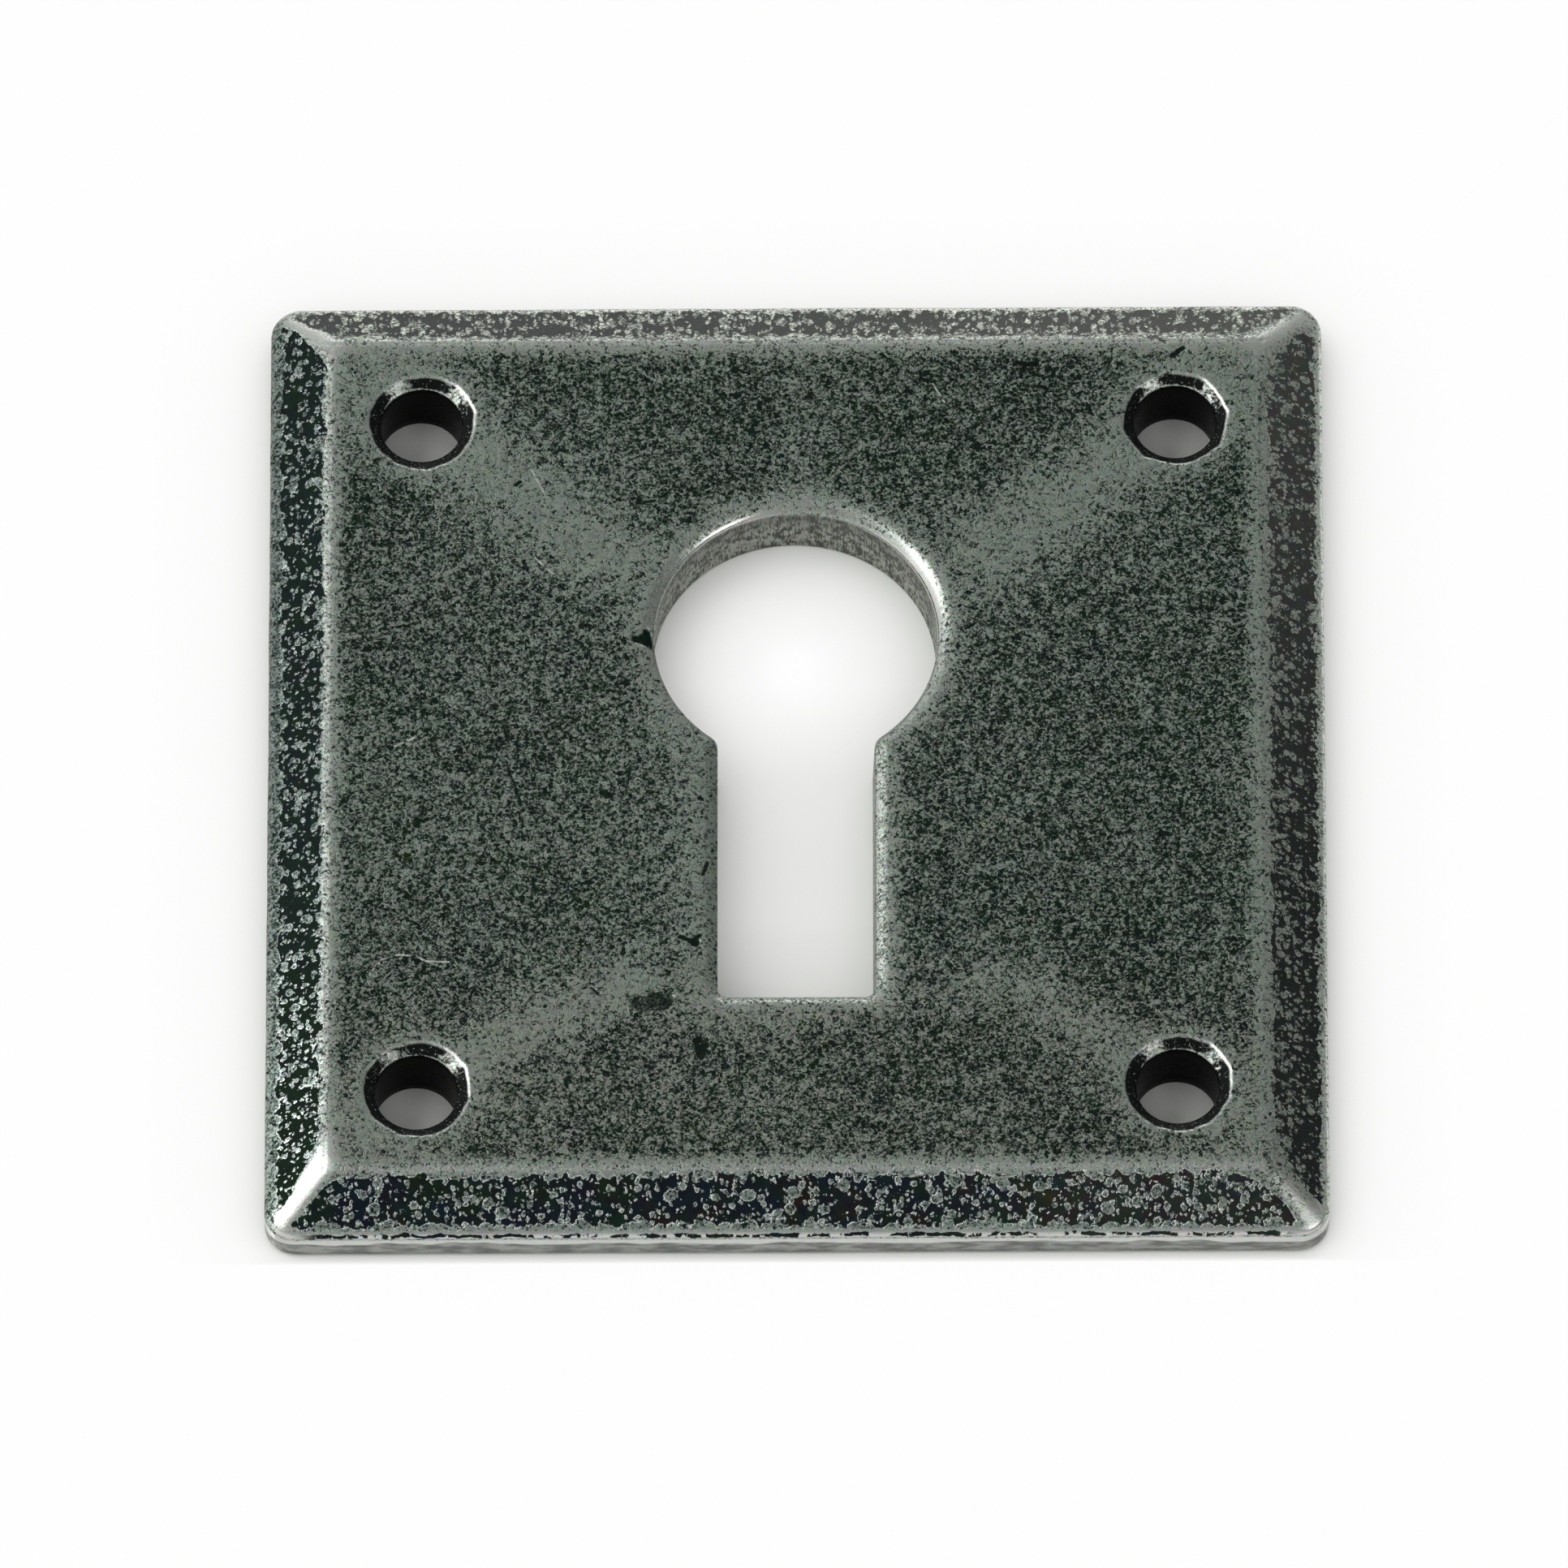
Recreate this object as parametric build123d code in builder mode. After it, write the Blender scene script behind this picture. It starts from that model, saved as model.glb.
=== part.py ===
"""Keyhole escutcheon: a square cast plate with a sloped border, a keyhole and four screw holes.

Millimetres, +Z up. The origin is the centre of the flat back face. +Z points out of the front face and
+Y points to the round end of the keyhole.
"""
import os

from build123d import *

# Plate
plate_side = 50.0
plate_thickness = 3.6
plate_corner_radius = 1.5
upright_height = 1.9

# Sloped border between the upright side and the flat face
slope_width = 2.8
face_corner_radius = 0.7
face_edge_radius = 1.2
side_edge_radius = 0.4
back_edge_radius = 0.4

# Keyhole
keyhole_round_radius = 6.7
keyhole_round_centre_y = 6.3
keyhole_slot_width = 7.4
keyhole_foot_y = -13.0
keyhole_neck_radius = 0.8
keyhole_foot_radius = 0.5
keyhole_front_edge_radius = 0.5
keyhole_back_edge_radius = 0.15

# Screw holes
screw_pitch = 35.8
screw_hole_radius = 1.95
countersink_radius = 2.55
countersink_angle = 118.0

face_side = plate_side - 2 * slope_width

with BuildPart() as escutcheon_plate:
    # Body: the upright side first, then the sloped border drawn in to the flat face.
    with BuildSketch():
        RectangleRounded(plate_side, plate_side, plate_corner_radius)
    extrude(amount=upright_height)
    with BuildSketch(Plane.XY.offset(upright_height)):
        RectangleRounded(plate_side, plate_side, plate_corner_radius)
    with BuildSketch(Plane.XY.offset(plate_thickness)):
        RectangleRounded(face_side, face_side, face_corner_radius)
    loft(ruled=True)

    # Soft edges: face to slope, slope to upright side, upright side to back.
    levels = escutcheon_plate.edges().group_by(Axis.Z)
    fillet(levels[-1], face_edge_radius)
    side_edges = escutcheon_plate.edges().filter_by(lambda e: abs(e.center().Z - upright_height) < 1e-4)
    fillet(side_edges, side_edge_radius)
    fillet(escutcheon_plate.edges().group_by(Axis.Z)[0], back_edge_radius)

    # Keyhole: round end and slot in one outline, with soft neck and foot corners.
    with BuildSketch() as keyhole:
        with Locations((0, keyhole_round_centre_y)):
            Circle(keyhole_round_radius)
        slot_length = keyhole_round_centre_y - keyhole_foot_y
        with Locations((0, keyhole_foot_y)):
            Rectangle(keyhole_slot_width, slot_length, align=(Align.CENTER, Align.MIN))
        fillet(keyhole.vertices().group_by(Axis.Y)[0], keyhole_foot_radius)
        slot_corners = keyhole.vertices().filter_by(lambda v: abs(abs(v.X) - keyhole_slot_width / 2) < 1e-4)
        fillet(slot_corners.group_by(Axis.Y)[-1], keyhole_neck_radius)
    extrude(amount=plate_thickness, mode=Mode.SUBTRACT)

    # The keyhole's front edge is well rounded, its back edge only broken.
    front_face = escutcheon_plate.faces().sort_by(Axis.Z)[-1]
    fillet(front_face.inner_wires()[0].edges(), keyhole_front_edge_radius)
    back_face = escutcheon_plate.faces().sort_by(Axis.Z)[0]
    fillet(back_face.inner_wires()[0].edges(), keyhole_back_edge_radius)

    # Screw holes, each opened by a shallow countersink from the front.
    with Locations(Plane.XY.offset(plate_thickness)):
        with GridLocations(screw_pitch, screw_pitch, 2, 2):
            CounterSinkHole(screw_hole_radius, countersink_radius, counter_sink_angle=countersink_angle)

escutcheon_plate.part.label = "escutcheon_plate"
os.makedirs("parts", exist_ok=True)
export_step(escutcheon_plate.part, "parts/escutcheon_plate.step")
print("plate volume", round(escutcheon_plate.part.volume, 1), "mm3")
print("plate box", escutcheon_plate.part.bounding_box())
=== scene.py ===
# %% [markdown]
# # A keyhole escutcheon in cast metal
#
# The object is a small square plate that is screwed over a keyhole. It is one casting: a flat face, a sloped
# border, a low upright side, a keyhole and four screw holes. The finish is a black patina that has been rubbed
# back to grey metal, so black stays in the pits and the high places shine.
#
# The solid from the drawing gives the exact form. This lesson builds a finer skin of the same form, because a
# casting is never quite even, and then gives it its patina.

# %% Load the solid
import bpy
import math
import random
import numpy as np
from mathutils import Matrix, Vector, noise
from mathutils.geometry import delaunay_2d_cdt


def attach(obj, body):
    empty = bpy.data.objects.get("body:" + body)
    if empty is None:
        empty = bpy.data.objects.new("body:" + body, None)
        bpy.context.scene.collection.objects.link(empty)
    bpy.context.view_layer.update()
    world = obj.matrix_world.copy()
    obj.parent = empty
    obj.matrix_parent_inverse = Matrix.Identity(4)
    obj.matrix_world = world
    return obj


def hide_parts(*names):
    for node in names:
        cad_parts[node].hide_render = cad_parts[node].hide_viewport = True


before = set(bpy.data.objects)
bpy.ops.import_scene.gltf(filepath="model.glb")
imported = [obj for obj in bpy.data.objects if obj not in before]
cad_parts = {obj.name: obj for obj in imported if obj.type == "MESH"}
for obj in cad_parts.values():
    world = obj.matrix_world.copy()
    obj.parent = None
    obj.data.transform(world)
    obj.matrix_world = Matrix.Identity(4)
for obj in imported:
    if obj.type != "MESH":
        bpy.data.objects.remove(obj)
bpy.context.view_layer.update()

# %% [markdown]
# ## Sizes
#
# The sizes are those of the drawing, in millimetres. Working in millimetres keeps the numbers readable, and
# the finished mesh is brought to metres in one step at the end.

# %% Sizes of the plate
MM = 0.001
PLATE_HALF = 25.0
THICKNESS = 3.6
PLATE_CORNER = 1.5
UPRIGHT = 1.9
SLOPE = 2.8
FACE_CORNER = 0.7
FACE_EDGE = 1.2
SIDE_EDGE = 0.4
BACK_EDGE = 0.4

ROUND_RADIUS = 6.7
ROUND_Y = 6.3
SLOT_HALF = 3.7
FOOT_Y = -13.0
NECK_SOFT = 0.8
FOOT_SOFT = 0.5
KEYHOLE_BACK_EDGE = 0.15

BORE_RADIUS = 1.95
MOUTH_RADIUS = 2.55
MOUTH_DEPTH = 0.36
print("plate", 2 * PLATE_HALF, "mm square,", THICKNESS, "mm thick")

# %% [markdown]
# ## The camera
#
# The plate lies on a table and is seen from above its lower edge, about 61 degrees up, with a long lens that
# hardly narrows the far side. A camera is a place, a direction and a lens. Here the place follows from the
# angle and the distance, and the lens from how large one millimetre has to appear.

# %% Camera
CAMERA_SIDEWAYS = 0.8
CAMERA_HEIGHT_ANGLE = 61.417
CAMERA_ROLL = -0.943
CAMERA_DISTANCE = 1500.0
LOOK_AT = Vector((-0.605, 0.166, 0.0))
PIXELS_ACROSS = 1932
LENS_IN_PIXELS = 39090.0

turn, lift = math.radians(CAMERA_SIDEWAYS), math.radians(CAMERA_HEIGHT_ANGLE)
towards_camera = Vector((math.sin(turn) * math.cos(lift), -math.cos(turn) * math.cos(lift), math.sin(lift)))
camera_data = bpy.data.cameras.new("product_camera")
camera_data.sensor_width = 36.0
camera_data.lens = 36.0 * LENS_IN_PIXELS / PIXELS_ACROSS
camera_data.clip_start = 0.01
camera_data.clip_end = 20.0
camera = bpy.data.objects.new("product_camera", camera_data)
bpy.context.scene.collection.objects.link(camera)
level = towards_camera.to_track_quat("Z", "Y").to_matrix().to_4x4()
camera.matrix_world = (
    Matrix.Translation((LOOK_AT + towards_camera * CAMERA_DISTANCE) * MM)
    @ level
    @ Matrix.Rotation(math.radians(CAMERA_ROLL), 4, "Z")
)
bpy.context.scene.camera = camera
print("lens", round(camera_data.lens, 1), "mm")

# %% [markdown]
# ## Helpers for nodes
#
# The paper, the room and the patina are each a tree of nodes. Nodes can be set and joined one by one, but that
# hides the idea behind many lines. These helpers make one node each and return its result, so that a finish
# reads like a sum. They add to the tree that the name tree stands for, and each finish first names its own.


# %% Node helpers
def put(socket, value):
    """Join a socket to another node's result, or give it a plain value."""
    if isinstance(value, bpy.types.NodeSocket):
        tree.links.new(value, socket)
    else:
        socket.default_value = value


def node(kind, sockets=None, **options):
    """Add a node, set its options and fill its sockets."""
    made = tree.nodes.new("ShaderNode" + kind)
    for name, value in options.items():
        setattr(made, name, value)
    for name, value in (sockets or {}).items():
        put(made.inputs[name], value)
    return made


def maths(operation, a, b=0.0, c=0.0, clamp=False):
    return node("Math", {0: a, 1: b, 2: c}, operation=operation, use_clamp=clamp).outputs[0]


def product(first, second):
    return maths("MULTIPLY", first, second)


def higher(first, second):
    return maths("MAXIMUM", first, second)


def ramp(value, low, high, at_low=0.0, at_high=1.0, ends="LINEAR"):
    """A straight ramp from one value to another, level beyond both."""
    sockets = {0: value, 1: low, 2: high, 3: at_low, 4: at_high}
    return node("MapRange", sockets, interpolation_type=ends).outputs[0]


def times(first, second):
    """One colour multiplied by another."""
    return node("VectorMath", {0: first, 1: second}, operation="MULTIPLY").outputs[0]


def scaled(vector, scale):
    return node("VectorMath", {0: vector, "Scale": scale}, operation="SCALE").outputs[0]


def coordinates(place):
    """The three parts of a place: across, up and out."""
    return node("SeparateXYZ", {0: place}).outputs


print("node helpers ready")

# %% [markdown]
# ## Floor and light
#
# The plate was photographed on white, in soft light. The floor is a large matt white sheet. Metal shows its
# surroundings, so the light has to be arranged as a room: pale near the horizon, greyer overhead and on the
# right, a large soft lamp on the left and weaker ones on the right and low at the back. The levels are chosen
# so that white paper on the floor comes out just white.

# %% Floor
FLOOR_HALF = 3.0
FLOOR_DROP = 0.00002
FLOOR_CORNERS = ((-1, -1), (1, -1), (1, 1), (-1, 1))
floor_mesh = bpy.data.meshes.new("white_floor")
floor_mesh.from_pydata([(FLOOR_HALF * x, FLOOR_HALF * y, 0) for x, y in FLOOR_CORNERS], [], [(0, 1, 2, 3)])
floor = bpy.data.objects.new("white_floor", floor_mesh)
floor.location.z = -FLOOR_DROP
bpy.context.scene.collection.objects.link(floor)
print("floor", 2 * FLOOR_HALF, "m square")

# %% [markdown]
# ### White paper
#
# In the open the paper is plain white: it shines of itself. Close to the plate and inside its openings it keeps
# the soft shadow, and its shine is cut back by how hemmed in it is, which is painted shade. A white lamp-like
# sheet would lose the shadow, and a plain sheet would never be quite white. So the paper shines where it lies
# open and stays ordinary paper where the plate covers it, and in the deepest hollows its own colour is painted
# darker. It shines only for what looks at it, straight, in a reflection or through something, and throws no
# light on dull things.

# %% Paper
WHITE = 0.97
IN_SHADE = 0.74
OPEN_REACH = 0.006
PAPER_TINT = (0.98, 1.0, 0.93)
paper = bpy.data.materials.new("white_paper")
paper.use_nodes = True
tree = paper.node_tree
paper_shader = tree.nodes["Principled BSDF"]
paper_shader.inputs["Roughness"].default_value = 0.9
paper_shader.inputs["Specular IOR Level"].default_value = 0.1
ray = node("LightPath").outputs
seen = higher(higher(ray["Is Camera Ray"], ray["Is Glossy Ray"]), ray["Is Transmission Ray"])
openness = node("AmbientOcclusion", {"Distance": OPEN_REACH}, samples=4).outputs["AO"]
# Painted shade: the paper's own colour is painted darker in the deepest hollows.
put(paper_shader.inputs["Base Color"], times(ramp(openness, 0.06, 0.25, 0.25, IN_SHADE), PAPER_TINT))

# Painted shade: under the plate the paper's shine is cut, so it is greyer, except below the round end of the
# keyhole. In front it is all white, a painted light that takes the shadow away there.
floor_place = node("TexCoord").outputs["Object"]
floor_up = coordinates(floor_place)["Y"]
from_middle = node("VectorMath", {0: floor_place}, operation="LENGTH").outputs["Value"]
under_plate = ramp(from_middle, 0.015, 0.024, IN_SHADE, 1.0)
under_round = ramp(floor_up, 0.0005, 0.0055, IN_SHADE, 1.0)
# Painted shade: the shine fades where the paper is hemmed in, following how open it is.
open_white = product(seen, ramp(openness, 0.3, 0.9, 0.0, WHITE))
shine_with_painted_shade = product(open_white, higher(under_plate, under_round))
front_painted_light = product(seen, ramp(floor_up, -0.0254, -0.02505, WHITE, 0.0))
shining = node("Emission", {"Strength": 1.0}).outputs[0]
paper_sockets = {0: higher(shine_with_painted_shade, front_painted_light), 1: paper_shader.outputs[0], 2: shining}
put(tree.nodes["Material Output"].inputs["Surface"], node("MixShader", paper_sockets).outputs[0])
floor_mesh.materials.append(paper)
print("paper of", len(tree.nodes), "nodes")


# %% Soft lamps
def soft_lamp(name, direction, distance, size, brightness):
    """A square soft lamp that faces the plate; brightness is its own surface's, with white paper at 1."""
    data = bpy.data.lights.new(name, "AREA")
    data.shape = "SQUARE"
    data.size = size
    data.energy = brightness * math.pi * size * size
    lamp = bpy.data.objects.new(name, data)
    away = Vector(direction).normalized()
    lamp.matrix_world = Matrix.Translation(away * distance) @ away.to_track_quat("Z", "Y").to_matrix().to_4x4()
    bpy.context.scene.collection.objects.link(lamp)


soft_lamp("left_lamp", (-0.68, 0.12, 0.7), 0.9, 0.7, 2.1)
soft_lamp("right_lamp", (0.6, -0.42, 0.66), 0.9, 0.5, 1.6)
soft_lamp("back_lamp", (0.0, 1.0, 0.13), 0.9, 0.5, 1.5)

# %% Room light
# Height above the horizon, from 0 to 1, and the room's tone there.
HEIGHT_TONES = [
    (0.0, (1.0, 1.0, 0.99)),
    (0.35, (0.88, 0.88, 0.87)),
    (0.75, (0.54, 0.55, 0.54)),
    (1.0, (0.62, 0.63, 0.62)),
]
world = bpy.data.worlds.new("pale_room")
bpy.context.scene.world = world
world.use_nodes = True
tree = world.node_tree
tree.nodes.clear()
way = coordinates(node("TexCoord").outputs["Generated"])
height_tones = node("ValToRGB", {"Fac": way["Z"]})
tone_stops = height_tones.color_ramp.elements
for height, _ in HEIGHT_TONES[1:-1]:
    tone_stops.new(height)
for stop, (_, tone_there) in zip(tone_stops, HEIGHT_TONES):
    stop.color = (*tone_there, 1)
room_tone = scaled(height_tones.outputs["Color"], ramp(way["X"], -0.9, 0.9, 1.3, 0.38))
room_light = node("Background", {"Color": room_tone, "Strength": 1.0})
node("OutputWorld", {"Surface": room_light.outputs["Background"]})
bpy.context.scene.view_settings.view_transform = "Standard"
print("room light of", len(tone_stops), "tones")

# %% [markdown]
# ## The border as a drawn line
#
# From the side, the border is one line: out along the back, up the side, in along the slope and onto the face,
# with each corner softened by an arc. Drawing that line once and carrying it round the plate gives the whole
# border, and the same arcs can be used for every soft corner of the plate.


# %% Soft corner and straight run
def soft_corner(before, corner, after, radius, steps):
    """Points of the arc that rounds a corner of a drawn line."""
    before, corner, after = (np.array(p, float) for p in (before, corner, after))
    back = (before - corner) / np.linalg.norm(before - corner)
    on = (after - corner) / np.linalg.norm(after - corner)
    half_angle = math.acos(float(back @ on)) / 2
    centre = corner + (back + on) / np.linalg.norm(back + on) * radius / math.sin(half_angle)
    start = corner + back * radius / math.tan(half_angle) - centre
    end = corner + on * radius / math.tan(half_angle) - centre
    sweep = math.acos(float(np.clip(start @ end / radius**2, -1, 1)))
    turns = np.linspace(0, 1, steps + 1) * sweep
    return [centre + (math.sin(sweep - a) * start + math.sin(a) * end) / math.sin(sweep) for a in turns]


def straight_run(start, end, step):
    """Points strictly between two ends, about one step apart."""
    count = max(int(round(np.linalg.norm(np.subtract(end, start)) / step)), 1)
    return [np.array(start) + (np.array(end) - np.array(start)) * k / count for k in range(1, count)]


# %% Border line: inset from the outline, and height
back_arc = soft_corner((1, 0), (0, 0), (0, UPRIGHT), BACK_EDGE, 5)
side_arc = soft_corner((0, 0), (0, UPRIGHT), (SLOPE, THICKNESS), SIDE_EDGE, 4)
face_arc = soft_corner((0, UPRIGHT), (SLOPE, THICKNESS), (SLOPE + 5, THICKNESS), FACE_EDGE, 6)
side_run = straight_run(back_arc[-1], side_arc[0], 0.2)
slope_run = straight_run(side_arc[-1], face_arc[0], 0.145)
border_line = np.array(back_arc + side_run + side_arc + slope_run + face_arc)
FACE_START = border_line[-1][0]

# Climb is the way along the line in millimetres, with 0 at the upper edge of the upright side.
border_climb = np.concatenate([[0], np.cumsum(np.linalg.norm(np.diff(border_line, axis=0), axis=1))])
SLOPE_ROW = len(back_arc) + len(side_run) + len(side_arc) // 2
border_climb -= border_climb[SLOPE_ROW]
print("border line of", len(border_line), "points; the flat face starts", round(FACE_START, 2), "mm in")
print("the line climbs from", round(border_climb[0], 2), "to", round(border_climb[-1], 2), "mm")


# %% [markdown]
# ## Carrying the line round the plate
#
# The outline is a square with small round corners. Every point of the line is placed between the outline and
# the smaller square of the face, point for point, as a loft does it, so the four corner ridges come out as
# they are on the casting: sharp near the face and rounder towards the outside.


# %% Border rings
def rounded_square(half, radius, side_count, corner_count):
    """A closed ring of points, anticlockwise, starting on the lower side."""
    ring = []
    for quarter in range(4):
        angle = quarter * math.pi / 2
        c, s = math.cos(angle), math.sin(angle)
        for k in range(side_count):
            x, y = -(half - radius) + 2 * (half - radius) * k / side_count, -half
            ring.append((c * x - s * y, s * x + c * y))
        for k in range(corner_count):
            a = -math.pi / 2 + math.pi / 2 * k / corner_count
            x, y = half - radius + radius * math.cos(a), -(half - radius) + radius * math.sin(a)
            ring.append((c * x - s * y, s * x + c * y))
    return np.array(ring)


SIDE_COUNT, CORNER_COUNT = 300, 14
outer_ring = rounded_square(PLATE_HALF, PLATE_CORNER, SIDE_COUNT, CORNER_COUNT)
face_ring = rounded_square(PLATE_HALF - SLOPE, FACE_CORNER, SIDE_COUNT, CORNER_COUNT)


def border_ring(inset, height):
    flat = outer_ring + (face_ring - outer_ring) * inset / SLOPE
    return np.column_stack([flat, np.full(len(flat), height)])


border_rings = [border_ring(inset, height) for inset, height in border_line]
print("border", len(border_rings), "rings of", len(outer_ring), "points")

# %% [markdown]
# ## The keyhole
#
# The keyhole is a circle joined to a slot, with the two neck corners and the two foot corners softened. At the
# front, polishing has worn the edge to a soft shoulder that ends in a crisp line at the wall, a little inside
# the drawing's rounded edge. The back edge is only broken. The wall leans a little, as in a hand-dressed
# casting, so the right wall of the slot just shows from the front.


# %% Keyhole outline
def arc(centre, radius, start_degrees, end_degrees, step):
    count = max(int(abs(math.radians(end_degrees - start_degrees)) * radius / step), 3)
    angles = np.radians(np.linspace(start_degrees, end_degrees, count + 1))
    return [np.array((centre[0] + radius * math.cos(a), centre[1] + radius * math.sin(a))) for a in angles]


neck_x = SLOT_HALF + NECK_SOFT
neck_y = ROUND_Y - math.sqrt((ROUND_RADIUS + NECK_SOFT) ** 2 - neck_x**2)
neck_angle = math.degrees(math.atan2(ROUND_Y - neck_y, neck_x))
KEYHOLE_STEP = 0.16
right_half = (
    arc((SLOT_HALF - FOOT_SOFT, FOOT_Y + FOOT_SOFT), FOOT_SOFT, -90, 0, 0.11)
    + straight_run((SLOT_HALF, FOOT_Y + FOOT_SOFT), (SLOT_HALF, neck_y), KEYHOLE_STEP)
    + arc((neck_x, neck_y), NECK_SOFT, 180, 180 - neck_angle, 0.11)
    + arc((0, ROUND_Y), ROUND_RADIUS, -neck_angle, 90, KEYHOLE_STEP)[1:]
)
left_half = [np.array((-p[0], p[1])) for p in right_half[-2::-1]]
foot_run = straight_run((-(SLOT_HALF - FOOT_SOFT), FOOT_Y), (SLOT_HALF - FOOT_SOFT, FOOT_Y), KEYHOLE_STEP)
keyhole_line = np.array(right_half + left_half + foot_run)
along = np.roll(keyhole_line, -1, axis=0) - np.roll(keyhole_line, 1, axis=0)
along /= np.linalg.norm(along, axis=1)[:, None]
into_metal = np.column_stack([along[:, 1], -along[:, 0]])
print("keyhole outline of", len(keyhole_line), "points")

# %% Keyhole rings, from the face down to the back
KEYHOLE_LEAN = 0.11
SHOULDER_WIDTH, SHOULDER_DROP, SHOULDER_STEPS = 0.7, 0.28, 7
crisp_edge = (0.0, THICKNESS - SHOULDER_DROP)
shoulder_shares = np.arange(SHOULDER_STEPS) / SHOULDER_STEPS
shoulder_line = [(SHOULDER_WIDTH * (1 - t), THICKNESS - SHOULDER_DROP * t**2) for t in shoulder_shares]
edge_arc = soft_corner(shoulder_line[-1], crisp_edge, (0, 0), 0.12, 2)
foot_arc = soft_corner((0, THICKNESS), (0, 0), (3, 0), KEYHOLE_BACK_EDGE, 2)
wall_run = straight_run(edge_arc[-1], foot_arc[0], 0.3)
keyhole_depth_line = np.array([np.array(p) for p in shoulder_line] + edge_arc + wall_run + foot_arc)
KEYHOLE_STAGES = [0] * (len(shoulder_line) - 1) + [0.12, 0.2, 0.5, 0.8] + [1] * (len(wall_run) + len(foot_arc))


def keyhole_ring(outset, height):
    flat = keyhole_line + into_metal * outset
    lean = -KEYHOLE_LEAN * (1 - height / THICKNESS)
    return np.column_stack([flat[:, 0] + lean, flat[:, 1], np.full(len(flat), height)])


keyhole_rings = [keyhole_ring(outset, height) for outset, height in keyhole_depth_line]
print("keyhole wall of", len(keyhole_rings), "rings")

# %% [markdown]
# ## The screw holes
#
# Each hole was opened at the front with a drill point held by hand. The mouths are shallow and uneven: some
# have flats where the tool chattered. A mouth is therefore drawn as a many-sided figure blended with a circle,
# with its own number of flats, and its centre a little off the true place.

# %% Screw hole rings
HOLES = [
    # place across and up, flats, how flat, turn of the flats in degrees
    dict(name="top_left", x=-17.76, y=17.84, flats=7, flatness=0.15, turn=12),
    dict(name="top_right", x=17.98, y=17.88, flats=8, flatness=0.6, turn=10),
    dict(name="bottom_left", x=-17.84, y=-18.0, flats=8, flatness=0.3, turn=30),
    dict(name="bottom_right", x=17.9, y=-17.84, flats=10, flatness=0.25, turn=18),
]
HOLE_COUNT = 96
HOLE_LEAN = 0.09
# Start of the mouth: how far outside its radius, and how deep.
MOUTH_ROUND = [(0.14, 0.0), (0.05, 0.012), (-0.02, 0.05)]


def mouth_shape(hole, angle):
    """Share of the mouth's radius at an angle: 1 on the circle, less on a flat."""
    part = 2 * math.pi / hole["flats"]
    within = (angle - math.radians(hole["turn"])) % part - part / 2
    flat = math.cos(part / 2) / math.cos(within)
    uneven = 0.012 * math.sin(3 * angle + hole["turn"]) + 0.007 * math.sin(11 * angle + 2 * hole["turn"])
    uneven += 0.006 * math.sin(19 * angle + 5 * hole["turn"])
    return 1 + hole["flatness"] * (flat - 1) + uneven


def hole_ring(hole, radius, height, shaped):
    ring = []
    lean = -HOLE_LEAN * (1 - height / THICKNESS)
    for k in range(HOLE_COUNT):
        a = 2 * math.pi * k / HOLE_COUNT
        r = radius * (1 + shaped * (mouth_shape(hole, a) - 1))
        ring.append((hole["x"] + lean + r * math.cos(a), hole["y"] + r * math.sin(a), height))
    return np.array(ring)


def hole_rings(hole):
    """Rings from the face down the mouth and the bore to the back."""
    step = (MOUTH_RADIUS - BORE_RADIUS) / 5
    rings = [hole_ring(hole, MOUTH_RADIUS + wider, THICKNESS - depth, 1.0) for wider, depth in MOUTH_ROUND]
    for k in (1, 2, 3, 4):
        depth = 0.04 + (MOUTH_DEPTH - 0.04) * k / 5
        rings.append(hole_ring(hole, MOUTH_RADIUS - step * k, THICKNESS - depth, 1 - 0.2 * k))
    rings.append(hole_ring(hole, BORE_RADIUS + 0.03, THICKNESS - MOUTH_DEPTH + 0.02, 0))
    rings.append(hole_ring(hole, BORE_RADIUS, THICKNESS - MOUTH_DEPTH - 0.04, 0))
    for height in np.linspace(THICKNESS - MOUTH_DEPTH - 0.4, 0.0, 8):
        rings.append(hole_ring(hole, BORE_RADIUS, height, 0))
    return rings


all_hole_rings = [hole_rings(hole) for hole in HOLES]
print("screw holes", [h["name"] for h in HOLES], "with", len(all_hole_rings[0]), "rings each")

# %% [markdown]
# ## Marks from casting and use
#
# The face carries small blow holes, dents and scratches. Each is drawn as a short line. A blow hole or dent
# also has a width, a depth and a darkness, and is sunk into the net: painting it would be quicker, but a
# painted dent doesn't catch the light. A scratch is too shallow for that, and is left to the finish as a line
# of bare metal. The net has to be fine around all of them and can stay wide elsewhere.

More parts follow.
